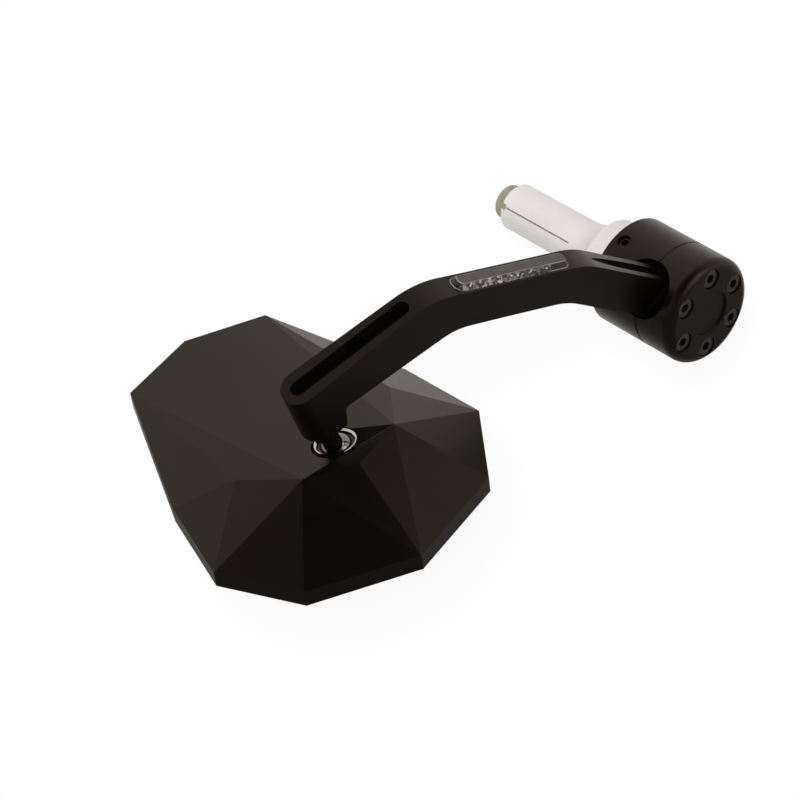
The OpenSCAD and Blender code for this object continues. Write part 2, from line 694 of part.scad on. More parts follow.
module plate_screws() {
  color([0.4, 0.4, 0.4]) at_collar() plate_screw_spots() union() {
    translate([0, 0, 0.05])
      cylinder(d1 = 2 * plate_screw_d - 0.3, d2 = plate_screw_d - 0.2, h = plate_screw_d / 2);
    translate([0, 0, 0.05]) cylinder(d = plate_screw_d, h = plate_screw_len);
  }
}
module mirror_shell() {
  low = -roof_h - rim_h;
  ledge = low + glass_sink + glass_t + pad_t;
  deep = roof_h + rim_h;
  color([0.15, 0.14, 0.14]) at_mirror() difference() {
    roof(0, 0, -roof_h, low);
    difference() {
      roof(shell_wall + ledge_w, shell_wall * 1.1, -roof_h - 0.6, ledge - e);
      rotate([0, -slope, 0]) translate([0, 0, plate_top]) cylinder(d = socket_boss_d, h = 20);
    }
    translate([0, 0, low - 1]) linear_extrude(ledge - low + 1) polygon(inset(rim, shell_wall));
    rotate([0, -slope, 0]) {
      translate([0, 0, -recess_h]) cylinder(d = collar_d + 2 * recess_w, h = roof_h);
      translate([0, 0, -deep]) cylinder(d = collar_d + 2 * seat_clear, h = 1.5 * deep);
      translate([0, 0, -deep - shell_wall])
        cylinder(d = collar_flange_d + 2 * run_clear, h = deep);
      plate_screw_spots() cylinder(d = plate_screw_d + 2 * seat_clear, h = plate_screw_len + 0.5);
    }
  }
}
module backing_pad() {
  color([0.2, 0.2, 0.2]) at_mirror() translate([0, 0, -roof_h - rim_h + glass_sink + glass_t])
    linear_extrude(pad_t) polygon(inset(rim, shell_wall + 0.1));
}
module mirror_glass() {
  color([0.75, 0.8, 0.85]) at_mirror() translate([0, 0, -roof_h - rim_h + glass_sink])
    linear_extrude(glass_t) polygon(inset(rim, shell_wall + seal_w + 0.05));
}
module glass_seal() {
  color([0.08, 0.08, 0.08]) at_mirror() translate([0, 0, -roof_h - rim_h + glass_sink])
    linear_extrude(glass_t) difference() {
      polygon(inset(rim, shell_wall + 0.02));
      polygon(inset(rim, shell_wall + seal_w));
    }
}

expander_sleeve();
expander_cone();
expander_bolt();
bolt_washer();
rear_clamp_half();
front_clamp_half();
clamp_screws();
window_screw();
grub_screw();
ball_liner_rear();
ball_liner_front();
mirror_arm();
led_lens();
led_reflector();
led_board();
led_chips();
ball_stud();
socket_collar();
socket_liner();
socket_cup();
spring_washer();
socket_plate();
plate_screws();
mirror_shell();
backing_pad();
mirror_glass();
glass_seal();
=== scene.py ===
import bpy
import bmesh
import math
from mathutils import Matrix, Vector


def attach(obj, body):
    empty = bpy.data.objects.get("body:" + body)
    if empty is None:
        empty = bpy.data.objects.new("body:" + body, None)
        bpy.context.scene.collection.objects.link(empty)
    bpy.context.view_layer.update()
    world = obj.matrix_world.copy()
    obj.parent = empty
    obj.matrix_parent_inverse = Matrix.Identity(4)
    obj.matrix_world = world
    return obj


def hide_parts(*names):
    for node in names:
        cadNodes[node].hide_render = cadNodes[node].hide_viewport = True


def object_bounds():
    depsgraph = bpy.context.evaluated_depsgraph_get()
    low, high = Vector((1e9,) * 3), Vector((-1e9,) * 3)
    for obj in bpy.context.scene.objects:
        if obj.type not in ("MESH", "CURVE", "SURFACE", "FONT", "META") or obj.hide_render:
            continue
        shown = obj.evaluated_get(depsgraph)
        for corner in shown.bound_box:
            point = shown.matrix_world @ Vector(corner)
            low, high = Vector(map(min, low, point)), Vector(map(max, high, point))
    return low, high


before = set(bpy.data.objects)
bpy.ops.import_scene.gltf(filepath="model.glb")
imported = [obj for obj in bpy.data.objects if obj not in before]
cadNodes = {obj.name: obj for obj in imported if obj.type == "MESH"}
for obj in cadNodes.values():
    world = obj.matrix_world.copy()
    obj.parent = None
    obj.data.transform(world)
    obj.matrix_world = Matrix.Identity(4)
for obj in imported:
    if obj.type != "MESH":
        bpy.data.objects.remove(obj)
cadLow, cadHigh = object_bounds()
cadMiddle = (cadLow + cadHigh) / 2
mm = 0.001
print("frame loaded:", len(cadNodes), "nodes")


# colours and nodes

def hexColour(code):
    # sRGB hex to linear
    parts = [int(code[i:i + 2], 16) / 255 for i in (0, 2, 4)]
    return [p / 12.92 if p <= 0.04045 else ((p + 0.055) / 1.055) ** 2.4 for p in parts] + [1]


def addNode(tree, kind, settings=None, links=None, stops=(), **values):
    # values set the node's own fields, settings its sockets, links join its sockets to outputs; stops are a
    # colour ramp's, lowest first
    node = tree.nodes.new(kind)
    for name, value in values.items():
        setattr(node, name, value)
    for key, value in (settings or {}).items():
        node.inputs[key].default_value = value
    for key, output in (links or {}).items():
        tree.links.new(output, node.inputs[key])
    if stops:
        points = node.color_ramp.elements
        points[0].position, points[0].color = stops[0]
        points[1].position, points[1].color = stops[-1]
        for place, colour in stops[1:-1]:
            points.new(place).color = colour
    return node


def newMaterial(name):
    mat = bpy.data.materials.new(name)
    mat.use_nodes = True
    tree = mat.node_tree
    return mat, tree, tree.nodes["Principled BSDF"]


def grey(value):
    return (value, value, value, 1)


def makeSurface(name, look):
    # one metal or plastic surface: two tones, fine grain in the bump and uneven gloss; sizes in millimetres
    mat, tree, shader = newMaterial(name)
    place = addNode(tree, "ShaderNodeTexCoord").outputs["Object"]
    stretch = addNode(tree, "ShaderNodeMapping", {"Scale": look.get("stretch", (1, 1, 1))},
                      {"Vector": place})
    cloud = addNode(tree, "ShaderNodeTexNoise", {"Scale": 1 / (look["cloudSize"] * mm), "Detail": 3},
                    {"Vector": place})
    grain = addNode(tree, "ShaderNodeTexNoise", {"Scale": 1 / (look["grainSize"] * mm), "Detail": 2},
                    {"Vector": stretch.outputs["Vector"]})
    tone = addNode(tree, "ShaderNodeValToRGB", links={"Fac": cloud.outputs["Fac"]},
                   stops=[(0.35, hexColour(look["dark"])), (0.65, hexColour(look["light"]))])
    gloss = addNode(tree, "ShaderNodeValToRGB", links={"Fac": grain.outputs["Fac"]},
                    stops=[(0.3, grey(look["roughLow"])), (0.7, grey(look["roughHigh"]))])
    bump = addNode(tree, "ShaderNodeBump", {"Strength": look["bump"], "Distance": look["grainDepth"] * mm},
                   {"Height": grain.outputs["Fac"]})
    tree.links.new(tone.outputs["Color"], shader.inputs["Base Color"])
    tree.links.new(gloss.outputs["Color"], shader.inputs["Roughness"])
    tree.links.new(bump.outputs["Normal"], shader.inputs["Normal"])
    shader.inputs["Metallic"].default_value = look.get("metallic", 0)
    if "ior" in look:
        shader.inputs["IOR"].default_value = look["ior"]
    if "tint" in look:
        shader.inputs["Specular Tint"].default_value = hexColour(look["tint"])
    if "coat" in look:
        shader.inputs["Coat Weight"].default_value = look["coat"]
        shader.inputs["Coat Roughness"].default_value = look["coatRough"]
    return mat


# bead-blasted aluminium, black anodised: near-black, with a warm satin sheen and a fine even grain
blackAnodised = makeSurface("blackAnodisedAluminium", {
    "dark": "050404", "light": "090706", "cloudSize": 22, "grainSize": 0.35, "grainDepth": 0.02,
    "bump": 0.15, "roughLow": 0.28, "roughHigh": 0.38, "ior": 1.45, "tint": "ffe6d2"})
# painted shade: the same anodising, near black and matt, laid on faces deep in pockets, bores and recesses
# where shade falls
paintedShadeBlack = makeSurface("blackAnodisedPaintedShade", {
    "dark": "080706", "light": "0f0d0b", "cloudSize": 6, "grainSize": 0.35, "grainDepth": 0.03,
    "bump": 0.3, "roughLow": 0.6, "roughHigh": 0.75, "ior": 1.1})
# turned aluminium, pale satin anodised: nearly white, with fine turning lines round the bar axis
turnedAluminium = makeSurface("satinAluminium", {
    "dark": "ede8e3", "light": "f3efeb", "cloudSize": 14, "grainSize": 0.4, "grainDepth": 0.01,
    "stretch": (6, 0.4, 0.4), "bump": 0.15, "roughLow": 0.38, "roughHigh": 0.5, "metallic": 0.1})
# zinc die casting, tumbled: warm grey and slightly mottled
castZinc = makeSurface("tumbledZinc", {
    "dark": "aa9f8d", "light": "bdb2a1", "cloudSize": 3, "grainSize": 0.5, "grainDepth": 0.03,
    "bump": 0.4, "roughLow": 0.45, "roughHigh": 0.6, "metallic": 0.3})
# plain turned steel, lightly oiled
turnedSteel = makeSurface("turnedSteel", {
    "dark": "8d8d8e", "light": "a1a1a2", "cloudSize": 5, "grainSize": 0.3, "grainDepth": 0.01,
    "bump": 0.2, "roughLow": 0.28, "roughHigh": 0.4, "metallic": 1})
# cap screws with black oxide: blue-black and a little glossier than the anodising
blackOxide = makeSurface("blackOxideSteel", {
    "dark": "191716", "light": "242120", "cloudSize": 1.5, "grainSize": 0.25, "grainDepth": 0.01,
    "bump": 0.25, "roughLow": 0.24, "roughHigh": 0.36, "ior": 1.9, "tint": "fff2e8"})
# polished chrome plate: bright, with only faint polishing haze
chromePlate = makeSurface("chromePlate", {
    "dark": "d6d6d8", "light": "e2e2e4", "cloudSize": 4, "grainSize": 0.8, "grainDepth": 0.002,
    "bump": 0.05, "roughLow": 0.05, "roughHigh": 0.09, "metallic": 1})
# black nickel on the turned stud: a darker mirror than the chrome
blackNickel = makeSurface("blackNickel", {
    "dark": "8a8784", "light": "96938f", "cloudSize": 4, "grainSize": 0.8, "grainDepth": 0.002,
    "bump": 0.05, "roughLow": 0.08, "roughHigh": 0.14, "metallic": 1})
# acetal bearing liner: black and waxy
acetal = makeSurface("blackAcetal", {
    "dark": "141312", "light": "1d1b1a", "cloudSize": 4, "grainSize": 0.6, "grainDepth": 0.01,
    "bump": 0.1, "roughLow": 0.35, "roughHigh": 0.45, "ior": 1.48})
# fibreglass circuit board with green solder lacquer
boardLacquer = makeSurface("greenBoardLacquer", {
    "dark": "153322", "light": "1d4530", "cloudSize": 1.5, "grainSize": 0.4, "grainDepth": 0.01,
    "bump": 0.15, "roughLow": 0.3, "roughHigh": 0.4, "coat": 0.5, "coatRough": 0.15})
# light chips: yellow phosphor in a pale body
chipPhosphor = makeSurface("chipPhosphor", {
    "dark": "e4d9a8", "light": "efe8c8", "cloudSize": 0.8, "grainSize": 0.3, "grainDepth": 0.01,
    "bump": 0.1, "roughLow": 0.3, "roughHigh": 0.4})
# metallised reflector tray
trayMetal = makeSurface("metallisedTray", {
    "dark": "bfbdb9", "light": "d2d0cc", "cloudSize": 3, "grainSize": 0.5, "grainDepth": 0.01,
    "bump": 0.1, "roughLow": 0.15, "roughHigh": 0.25, "metallic": 1})
# moulded rubber seal
sealRubber = makeSurface("mouldedRubber", {
    "dark": "121211", "light": "1a1918", "cloudSize": 3, "grainSize": 0.3, "grainDepth": 0.02,
    "bump": 0.3, "roughLow": 0.6, "roughHigh": 0.75, "ior": 1.52})
# closed-cell foam sheet
foamSheet = makeSurface("foamSheet", {
    "dark": "1d1d1c", "light": "292827", "cloudSize": 2, "grainSize": 0.5, "grainDepth": 0.08,
    "bump": 0.6, "roughLow": 0.8, "roughHigh": 0.95})
# silvered float glass: a mirror with a faint cool tint
silveredGlass = makeSurface("silveredGlass", {
    "dark": "d3d9dc", "light": "d6dcdf", "cloudSize": 60, "grainSize": 30, "grainDepth": 0.001,
    "bump": 0.02, "roughLow": 0.01, "roughHigh": 0.02, "metallic": 1})


# the arm's bends, as in the solid model, in millimetres and degrees; below shadeTo it is inside the clamp and
# gets painted shade
armPlan = {"ballX": 36.6, "yaw": 14.5, "topFace": 5.9, "bend": 50, "lean": 21.5, "lightAt": 24.1,
           "lastLean": 58.5, "shadeTo": 17}


def armDirection(lean):
    # a direction in the arm's plane: 0 is along the arm's exit from the clamp, positive leans to the mirror
    turn = Matrix.Rotation(math.radians(-armPlan["yaw"]), 3, "Z")
    lean = math.radians(lean)
    return turn @ Vector((0, -math.sin(lean), math.cos(lean)))


lightAlong = armDirection(armPlan["lean"])
lightUp = armDirection(armPlan["lean"] - 90)
lightAcross = lightUp.cross(lightAlong)
armOut = armDirection(-90)
lightPlace = (Vector((armPlan["ballX"], 0, 0)) + armOut * armPlan["topFace"]
              + armDirection(0) * armPlan["bend"] + lightAlong * armPlan["lightAt"]) * mm


def localPlace(tree, origin, axes):
    # Object coordinates counted from origin along three directions, in millimetres
    place = addNode(tree, "ShaderNodeTexCoord").outputs["Object"]
    parts = []
    for axis in axes:
        dot = addNode(tree, "ShaderNodeVectorMath", {1: axis}, {0: place}, operation="DOT_PRODUCT")
        far = addNode(tree, "ShaderNodeMath", {1: 1 / mm, 2: -origin.dot(axis) / mm},
                      {0: dot.outputs["Value"]}, operation="MULTIPLY_ADD")
        parts.append(far.outputs[0])
    return parts


def barOutline(tree, along, across, bar):
    # distance from the outline of a round-cornered bar, negative inside, in millimetres
    flat = addNode(tree, "ShaderNodeCombineXYZ", links={"X": along, "Y": across})
    size = (bar["long"] / 2 - bar["corner"], bar["wide"] / 2 - bar["corner"], 0)
    folded = addNode(tree, "ShaderNodeVectorMath", links={0: flat.outputs[0]}, operation="ABSOLUTE")
    beyond = addNode(tree, "ShaderNodeVectorMath", {1: size}, {0: folded.outputs[0]}, operation="SUBTRACT")
    outside = addNode(tree, "ShaderNodeVectorMath", {1: (0, 0, 0)}, {0: beyond.outputs[0]},
                      operation="MAXIMUM")
    length = addNode(tree, "ShaderNodeVectorMath", links={0: outside.outputs[0]}, operation="LENGTH")
    gap = addNode(tree, "ShaderNodeMath", {1: bar["corner"]}, {0: length.outputs["Value"]},
                  operation="SUBTRACT")
    return gap.outputs[0]


def between(tree, value, low, high, soft):
    # 1 between low and high, 0 outside, with soft edges
    rise = addNode(tree, "ShaderNodeMapRange", {"From Min": low - soft, "From Max": low}, {"Value": value})
    fall = addNode(tree, "ShaderNodeMapRange", {"From Min": high + soft, "From Max": high},
                   {"Value": value})
    both = addNode(tree, "ShaderNodeMath", links={0: rise.outputs[0], 1: fall.outputs[0]},
                   operation="MULTIPLY")
    return both.outputs[0]


# the lens, in millimetres: its flat top, the painted highlights round that and round the foot, counted from
# the flat top's outline, with the softness of their edges, the size and depth of a prism, the near bevel and
# the reach of the painted glints of the chips along it; its tones are sRGB hex values over the haze in the
# plastic, and side is the painted shade on its bevels
lensLook = {
    "top": {"long": 35.8, "wide": 3.2, "corner": 1.3}, "soft": 0.06, "topHighlight": (-0.06, 0.12),
    "footHighlight": (1.25, 1.6), "prism": 0.75, "prismDepth": 0.4, "bevelFrom": 1.75, "bevelTo": 9,
    "chips": (-11.5, 18.6), "haze": 2.5, "rough": [(0.3, 0.12), (0.7, 0.2)], "clear": 0.1, "ior": 1.5,
    "calm": [(0.35, "45413d"), (0.65, "544f4b")], "side": [(0.35, "1d1b19"), (0.65, "292623")],
    "paintedHighlight": [(0.3, "837d76"), (0.7, "9d9790")],
    "paintedGlints": [(0.3, "302c29"), (0.52, "544e49"), (0.68, "7f7972"), (0.84, "beb8b2")]}


def makeLens():
    # clear polycarbonate, lightly smoked: a calm grey top with a painted highlight along its edge, painted
    # shade on the bevels, and prisms in the near bevel, over which glints standing in for the images of the
    # chips are painted
    mat, tree, shader = newMaterial("smokedPolycarbonate")
    across, along, up = localPlace(tree, lightPlace, (lightAcross, lightAlong, lightUp))
    place = addNode(tree, "ShaderNodeTexCoord").outputs["Object"]
    haze = addNode(tree, "ShaderNodeTexNoise", {"Scale": 1 / (lensLook["haze"] * mm), "Detail": 2},
                   {"Vector": place})
    flat = addNode(tree, "ShaderNodeCombineXYZ", links={"X": across, "Y": along, "Z": up})
    prisms = addNode(tree, "ShaderNodeTexVoronoi", {"Scale": 1 / lensLook["prism"], "Randomness": 0.9}, {
        "Vector": flat.outputs["Vector"]}, feature="F1", distance="CHEBYCHEV")
    tones = {}
    for name, source in (("calm", haze.outputs["Fac"]), ("side", haze.outputs["Fac"]),
                         ("paintedHighlight", haze.outputs["Fac"]), ("paintedGlints", prisms.outputs["Color"])):
        ramp = addNode(tree, "ShaderNodeValToRGB", links={"Fac": source},
                       stops=[(at, hexColour(code)) for at, code in lensLook[name]])
        tones[name] = ramp.outputs["Color"]
    edge = barOutline(tree, along, across, lensLook["top"])
    bevel = addNode(tree, "ShaderNodeMapRange", {"From Min": 0, "From Max": 0.1}, {"Value": edge})
    soft = lensLook["soft"]
    nearBevel = between(tree, across, lensLook["bevelFrom"], lensLook["bevelTo"], 0.2)
    byChips = between(tree, along, *lensLook["chips"], 0.8)
    where = addNode(tree, "ShaderNodeMath", links={0: nearBevel, 1: byChips}, operation="MULTIPLY")
    topHighlight = between(tree, edge, *lensLook["topHighlight"], soft)
    footHighlight = between(tree, edge, *lensLook["footHighlight"], soft)
    # the top's tone, then painted shade on the bevels, painted highlights along the top's edge and round the
    # foot, and painted glints of the chips on the near bevel
    tone = tones["calm"]
    for share, name in ((bevel.outputs[0], "side"), (topHighlight, "paintedHighlight"), (footHighlight, "paintedHighlight"),
                        (where.outputs[0], "paintedGlints")):
        mix = addNode(tree, "ShaderNodeMix", links={0: share, 6: tone, 7: tones[name]}, data_type="RGBA")
        tone = mix.outputs[2]
    tree.links.new(tone, shader.inputs["Base Color"])
    rough = addNode(tree, "ShaderNodeValToRGB", links={"Fac": haze.outputs["Fac"]},
                    stops=[(at, grey(value)) for at, value in lensLook["rough"]])
    tree.links.new(rough.outputs["Color"], shader.inputs["Roughness"])
    height = addNode(tree, "ShaderNodeMath", links={0: prisms.outputs["Distance"], 1: where.outputs[0]},
                     operation="MULTIPLY")
    bump = addNode(tree, "ShaderNodeBump", {"Strength": 0.8, "Distance": lensLook["prismDepth"] * mm},
                   {"Height": height.outputs[0]})
    tree.links.new(bump.outputs["Normal"], shader.inputs["Normal"])
    shader.inputs["Transmission Weight"].default_value = lensLook["clear"]
    shader.inputs["IOR"].default_value = lensLook["ior"]
    return mat


smokedLens = makeLens()
print("materials made:", len(bpy.data.materials))

nodeFinish = {
    "expander_sleeve": turnedAluminium, "expander_cone": castZinc, "expander_bolt": turnedSteel,
    "bolt_washer": turnedSteel, "rear_clamp_half": blackAnodised, "front_clamp_half": blackAnodised,
    "clamp_screws": blackOxide, "window_screw": blackOxide, "grub_screw": blackAnodised,
    # the ball liners are painted near black all over, as shade inside the clamp head
    "ball_liner_rear": paintedShadeBlack, "ball_liner_front": paintedShadeBlack, "mirror_arm": blackAnodised,
    "led_lens": smokedLens, "led_reflector": trayMetal, "led_board": boardLacquer,
    "led_chips": chipPhosphor, "ball_stud": blackNickel, "socket_collar": chromePlate,
    "socket_liner": acetal, "socket_cup": turnedSteel, "spring_washer": turnedSteel,
    "socket_plate": turnedSteel, "plate_screws": turnedSteel, "mirror_shell": blackAnodised,
    "backing_pad": foamSheet, "mirror_glass": silveredGlass, "glass_seal": sealRubber}
for nodeName, finish in nodeFinish.items():
    slots = cadNodes[nodeName].data.materials
    slots.clear()
    slots.append(finish)


# rounded copies of the milled pieces

def inBox(point, box):
    # is point inside a box given by its origin, three directions and a low and a high corner
    local = [(point - box["origin"]).dot(axis) for axis in box["axes"]]
    return all(low < value < high for value, low, high in zip(local, box["low"], box["high"]))


# the arm's two pockets, in millimetres, which get painted shade: along the last leg and beside the clamp head
legAlong = armDirection(armPlan["lastLean"])
legOut = armDirection(armPlan["lastLean"] - 90)
shadedArmPockets = [
    {"origin": Vector((24.55, -46.61, 120.53)), "axes": (lightAcross, -legAlong, legOut),
     "low": (-2.3, -2.5, -5.8), "high": (2.3, 36, -0.25)},
    {"origin": Vector((armPlan["ballX"], 0, 0)), "axes": (lightAcross, armDirection(0), armOut),
     "low": (-1.85, 8, 2), "high": (1.85, 46, 5.75)}]
# the inside of the clamp head, by radius and place along the bar axis, and how far the screws' tops reach:
# painted shade goes inside and below these
headSpan = {
    "radius": 15.4, "from": 19.6, "to": 45, "boreRadius": 14, "boreTo": 48.9, "keyDepth": 0.3,
    "screwTop": cadNodes["clamp_screws"].bound_box[6][0] / mm,
    "grubTop": max(math.hypot(v.co.y, v.co.z) for v in cadNodes["grub_screw"].data.vertices) / mm}
# the mirror's collar in millimetres: its centre and directions, the inner radius of its bright lip, inside
# which shade is painted, the radius of the recess round it, in which shade is painted on the shell, and the
# part of the lip on which shade is painted, in degrees
collarPlace = {
    "origin": Vector((19.65, -62.18, 92.59)), "axis": Vector((-0.13852, 0.76114, 0.63363)),
    "front": Vector((0.98589, 0.04523, 0.16119)), "side": Vector((0.09402, 0.64701, -0.75666)),
    "lip": 5.3, "recess": 6.9, "shade": (-78, -8)}
# the stud's ball, which keeps its dark nickel while shade is painted near black on the neck and hexagon
studBall = {"origin": Vector((20.007, -64.162, 90.939)), "radius": 4.95}


def inPaintedShade(nodeName, point):
    # faces that get painted shade, near black: in the arm's pockets and where it enters the clamp, inside the
    # clamp head, on the screws below their tops, in the recess and on the shaded part of the lip round the
    # mirror's collar, and on the stud's neck and hexagon
    around = math.hypot(point.y, point.z)
    if nodeName in ("clamp_screws", "window_screw"):
        return point.x < headSpan["screwTop"] - headSpan["keyDepth"]
    if nodeName == "grub_screw":
        return around < headSpan["grubTop"] - headSpan["keyDepth"]
    if nodeName in ("rear_clamp_half", "front_clamp_half"):
        inside = around < headSpan["radius"] and headSpan["from"] < point.x < headSpan["to"]
        inBore = around < headSpan["boreRadius"] and headSpan["from"] < point.x < headSpan["boreTo"]
        return inside or inBore
    if nodeName in ("socket_collar", "mirror_shell"):
        out = point - collarPlace["origin"]
        fromAxis = out.cross(collarPlace["axis"]).length
        if nodeName == "mirror_shell":
            return fromAxis < collarPlace["recess"]
        angle = math.degrees(math.atan2(out.dot(collarPlace["side"]), out.dot(collarPlace["front"])))
        return collarPlace["shade"][0] < angle < collarPlace["shade"][1] or fromAxis < collarPlace["lip"]
    if nodeName == "ball_stud":
        return (point - studBall["origin"]).length > studBall["radius"]
    if nodeName == "mirror_arm":
        return point.z < armPlan["shadeTo"] or any(inBox(point, box) for box in shadedArmPockets)
    return False


# how every copy is made: merging distance and rounding in millimetres, angles in degrees
softRule = {"merge": 0.004, "flat": 0.02, "segments": 3, "smooth": 32}


def softCopy(pieceName, nodeName, body, finish, slot, width, angle):
    # a merged copy of a node's solid with its sharp edges broken, as the tumbled and milled part has
    source = cadNodes[nodeName]
    piece = bpy.data.objects.new(pieceName, source.data.copy())
    bpy.context.scene.collection.objects.link(piece)
    bpy.ops.object.select_all(action="DESELECT")
    bpy.context.view_layer.objects.active = piece
    piece.select_set(True)
    bpy.ops.object.mode_set(mode="EDIT")
    bpy.ops.mesh.select_all(action="SELECT")
    bpy.ops.mesh.remove_doubles(threshold=softRule["merge"] * mm)
    bpy.ops.mesh.dissolve_limited(angle_limit=math.radians(softRule["flat"]))
    bpy.ops.object.mode_set(mode="OBJECT")
    # only outward edges are broken, so that no material is added
    shape = bmesh.new()
    shape.from_mesh(piece.data)
    weights = shape.edges.layers.float.new("bevel_weight_edge")
    for line in shape.edges:
        if line.is_manifold and line.is_convex and line.calc_face_angle() > math.radians(angle):
            line[weights] = 1
    shape.to_mesh(piece.data)
    shape.free()
    rounding = piece.modifiers.new("edges", "BEVEL")
    rounding.width = width * mm
    rounding.segments = softRule["segments"]
    rounding.limit_method = "WEIGHT"
    rounding.use_clamp_overlap = True
    rounding.miter_outer = "MITER_ARC"
    bpy.ops.object.modifier_apply(modifier=rounding.name)
    bpy.ops.object.shade_smooth_by_angle(angle=math.radians(softRule["smooth"]))
    flatter = piece.modifiers.new("normals", "WEIGHTED_NORMAL")
    flatter.keep_sharp = True
    bpy.ops.object.modifier_apply(modifier=flatter.name)
    piece.data.materials.clear()
    piece.data.materials.append(finish)
    # the second slot is the painted shade, near black, for the faces picked as lying in pockets, bores,
    # recesses and keys
    piece.data.materials.append(paintedShadeBlack)
    for face in piece.data.polygons:
        if inPaintedShade(nodeName, face.center / mm):
            face.material_index = 1
    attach(piece, body)
    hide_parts(nodeName)
    print("rounded copy:", pieceName, len(piece.data.polygons), "faces")


softEdges = {
    # piece: node, body, finish, slot, width of the broken edges in millimetres, angle they start at
    "armBody": ("mirror_arm", "arm", blackAnodised, "black_anodised", 0.6, 32),
    "headShell": ("mirror_shell", "mirror_head", blackAnodised, "black_anodised", 0.25, 4),
    "rearClamp": ("rear_clamp_half", "clamp_head", blackAnodised, "black_anodised", 0.3, 32),
    "frontClamp": ("front_clamp_half", "clamp_head", blackAnodised, "black_anodised", 0.3, 32),
    "capScrews": ("clamp_screws", "clamp_head", blackOxide, "black_steel", 0.35, 40),
    "grubScrew": ("grub_screw", "clamp_head", blackAnodised, "black_steel", 0.2, 40),
    "windowScrew": ("window_screw", "clamp_head", blackOxide, "black_steel", 0.35, 40),
    "slottedSleeve": ("expander_sleeve", "bar_spigot", turnedAluminium, "bare_aluminium", 0.12, 40),
    "coneNut": ("expander_cone", "cone_nut", castZinc, "zinc_grey", 0.2, 32),
    "collarRing": ("socket_collar", "mirror_head", chromePlate, "chrome_plate", 0.12, 32),
    "studBody": ("ball_stud", "stud", blackNickel, "chrome_plate", 0.2, 32),
    "lensBar": ("led_lens", "arm", smokedLens, "smoked_lens", 0.18, 20)}
for pieceName, settings in softEdges.items():
    softCopy(pieceName, *settings)


# stage: white table behind the piece, soft lights and the camera of the photo

stage = {
    # camera, in metres
    "cameraPlace": (0.53825, 0.13333, 0.71227), "lens": 140.87, "sensor": 36, "clip": (0.05, 20),
    "right": (0.6647, 0.3742, -0.6467), "up": (-0.4228, 0.902, 0.0875), "back": (0.616, 0.2152, 0.7577),
    # table, in metres, and its paper
    "tableGap": 0.004, "tableSize": 0.3, "tableGlow": 0.92, "tableRough": 0.9, "paperScale": 60,
    "paper": [(0.3, 0.94), (0.7, 0.96)],
    # light, and how the room and the table look in reflections: darker below and behind the camera
    "roomLight": 0.34, "warmth": (1, 0.93, 0.86, 1), "darkSide": (0, 0.4, 0.917),
    "lowShade": [(-0.8, 0.12), (-0.5, 0.18), (-0.1, 0.45), (0.3, 0.68)],
    "frontShade": [(0.5, 1), (0.62, 0.85), (0.72, 0.5), (0.84, 0.15), (0.92, 0.01)],
    "tableShade": [(0.16, 1), (0.4, 0.75), (0.58, 0.4), (0.8, 0.3)],
    "tableFall": [(-0.02, 0.25), (0.015, 1)],
    "lights": [
        # name, right, up, towards the camera, size, watts, seen in reflections
        ("frontLight", -0.1, 0.13, 1.3, 0.3, 12.5, False),
        ("sideWindow", 0.74, 0.1, 0.62, 0.62, 1.1, True)]}


def stageMatrix(place):
    turn = Matrix([stage["right"], stage["up"], stage["back"]]).transposed().to_4x4()
    return Matrix.Translation(place) @ turn


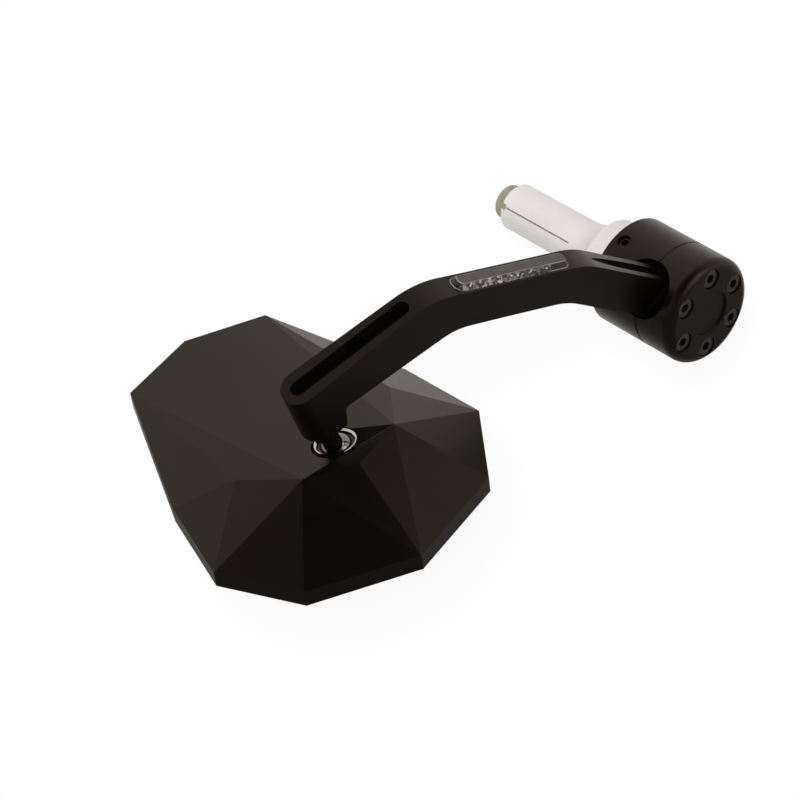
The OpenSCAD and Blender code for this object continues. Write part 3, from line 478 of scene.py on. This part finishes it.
def makeTable():
    # white paper behind the part: it keeps the part's soft shadow, glows white for the camera and in
    # reflections is shaded like the room; from behind it is clear
    mat, tree, shader = newMaterial("tableWhite")
    place = addNode(tree, "ShaderNodeTexCoord").outputs["Object"]
    paper = addNode(tree, "ShaderNodeTexNoise", {"Scale": stage["paperScale"], "Detail": 2},
                    {"Vector": place})
    tone = addNode(tree, "ShaderNodeValToRGB", links={"Fac": paper.outputs["Fac"]},
                   stops=[(at, grey(value)) for at, value in stage["paper"]])
    tree.links.new(tone.outputs["Color"], shader.inputs["Base Color"])
    shader.inputs["Roughness"].default_value = stage["tableRough"]
    rays = addNode(tree, "ShaderNodeLightPath")
    glowShare = addNode(tree, "ShaderNodeMath", {1: -stage["tableGlow"], 2: stage["tableGlow"]},
                        {0: rays.outputs["Is Diffuse Ray"]}, operation="MULTIPLY_ADD")
    slant = addNode(tree, "ShaderNodeLayerWeight", {"Blend": 0.5})
    shade = addNode(tree, "ShaderNodeValToRGB", links={"Fac": slant.outputs["Facing"]},
                    stops=[(at, grey(value)) for at, value in stage["tableShade"]])
    height = addNode(tree, "ShaderNodeVectorMath", {1: stage["up"]}, {0: place}, operation="DOT_PRODUCT")
    level = Vector(stage["cameraPlace"]).dot(Vector(stage["up"]))
    (low, dim), (high, full) = stage["tableFall"]
    fall = addNode(tree, "ShaderNodeMapRange", {
        "From Min": level + low, "From Max": level + high, "To Min": dim, "To Max": full},
        {"Value": height.outputs["Value"]})
    mirrored = addNode(tree, "ShaderNodeVectorMath", links={0: shade.outputs["Color"], 1: fall.outputs[0]},
                       operation="MULTIPLY")
    mirrored = addNode(tree, "ShaderNodeVectorMath", {1: stage["warmth"][:3]}, {0: mirrored.outputs[0]},
                       operation="MULTIPLY")
    glowTone = addNode(tree, "ShaderNodeMix", {6: grey(1)}, {
        0: rays.outputs["Is Glossy Ray"], 7: mirrored.outputs[0]}, data_type="RGBA")
    glow = addNode(tree, "ShaderNodeEmission", {"Strength": 1}, {"Color": glowTone.outputs[2]})
    lit = addNode(tree, "ShaderNodeMixShader", links={
        0: glowShare.outputs[0], 1: shader.outputs["BSDF"], 2: glow.outputs[0]})
    side = addNode(tree, "ShaderNodeNewGeometry").outputs["Backfacing"]
    clear = addNode(tree, "ShaderNodeBsdfTransparent")
    mix = addNode(tree, "ShaderNodeMixShader", links={
        0: side, 1: lit.outputs["Shader"], 2: clear.outputs["BSDF"]})
    tree.links.new(mix.outputs["Shader"], tree.nodes["Material Output"].inputs["Surface"])
    # the table stands just behind the part's farthest corner
    towards = Vector(stage["back"])
    corners = [Vector(corner) for node in cadNodes.values() for corner in node.bound_box]
    farthest = min(corner.dot(towards) for corner in corners)
    tablePlace = cadMiddle + towards * (farthest - stage["tableGap"] - cadMiddle.dot(towards))
    bpy.ops.mesh.primitive_plane_add(size=stage["tableSize"])
    table = bpy.context.active_object
    table.name = "table"
    table.data.transform(stageMatrix(tablePlace))
    table.data.materials.append(mat)


def makeWorld():
    # even light from all round for what is matt, and a white background for camera, glossy and transmission
    # rays; in reflections that background is darker below and dark behind the camera, as in a studio
    world = bpy.context.scene.world or bpy.data.worlds.new("studio")
    bpy.context.scene.world = world
    world.use_nodes = True
    tree = world.node_tree
    tree.nodes.clear()
    place = addNode(tree, "ShaderNodeTexCoord").outputs["Object"]
    right, up, back = (Vector(stage[key]) for key in ("right", "up", "back"))
    part = stage["darkSide"]
    dark = right * part[0] + up * part[1] + back * part[2]
    shades = []
    for axis, stops in ((up, stage["lowShade"]), (dark, stage["frontShade"])):
        dot = addNode(tree, "ShaderNodeVectorMath", {1: axis}, {0: place}, operation="DOT_PRODUCT")
        half = addNode(tree, "ShaderNodeMath", {1: 0.5, 2: 0.5}, {0: dot.outputs["Value"]},
                       operation="MULTIPLY_ADD")
        shades.append(addNode(tree, "ShaderNodeValToRGB", links={"Fac": half.outputs[0]},
                              stops=[((at + 1) / 2, grey(value)) for at, value in stops]))
    both = addNode(tree, "ShaderNodeMix", {0: 1}, {
        6: shades[0].outputs["Color"], 7: shades[1].outputs["Color"]},
        data_type="RGBA", blend_type="MULTIPLY")
    both = addNode(tree, "ShaderNodeMix", {0: 1, 7: stage["warmth"]}, {6: both.outputs[2]},
                   data_type="RGBA", blend_type="MULTIPLY")
    rays = addNode(tree, "ShaderNodeLightPath")
    mirrored = addNode(tree, "ShaderNodeMix", {6: grey(1)}, {
        0: rays.outputs["Is Glossy Ray"], 7: both.outputs[2]}, data_type="RGBA")
    backdrop = addNode(tree, "ShaderNodeBackground", {"Strength": 1}, {"Color": mirrored.outputs[2]})
    room = addNode(tree, "ShaderNodeBackground", {"Color": grey(1), "Strength": stage["roomLight"]})
    clear = addNode(tree, "ShaderNodeMath", links={
        0: rays.outputs["Is Camera Ray"], 1: rays.outputs["Is Transmission Ray"]}, operation="MAXIMUM")
    seen = addNode(tree, "ShaderNodeMath", links={
        0: clear.outputs[0], 1: rays.outputs["Is Glossy Ray"]}, operation="MAXIMUM")
    mix = addNode(tree, "ShaderNodeMixShader", links={
        0: seen.outputs[0], 1: room.outputs[0], 2: backdrop.outputs[0]})
    addNode(tree, "ShaderNodeOutputWorld", links={"Surface": mix.outputs[0]})


def makeLights():
    axes = [Vector(stage[key]) for key in ("right", "up", "back")]
    for name, right, up, back, size, watts, mirrored in stage["lights"]:
        data = bpy.data.lights.new(name, "AREA")
        data.shape = "DISK"
        data.size = size
        data.energy = watts
        lamp = bpy.data.objects.new(name, data)
        lamp.visible_glossy = mirrored
        offset = axes[0] * right + axes[1] * up + axes[2] * back
        lamp.location = cadMiddle + offset
        lamp.rotation_euler = offset.to_track_quat("Z", "Y").to_euler()
        bpy.context.scene.collection.objects.link(lamp)


def makeCamera():
    data = bpy.data.cameras.new("photoView")
    data.sensor_width = stage["sensor"]
    data.lens = stage["lens"]
    data.clip_start, data.clip_end = stage["clip"]
    camera = bpy.data.objects.new("photoView", data)
    camera.matrix_world = stageMatrix(Vector(stage["cameraPlace"]))
    bpy.context.scene.collection.objects.link(camera)
    bpy.context.scene.camera = camera


makeTable()
makeWorld()
makeLights()
makeCamera()
bpy.context.scene.view_settings.view_transform = "Standard"
print("stage made")
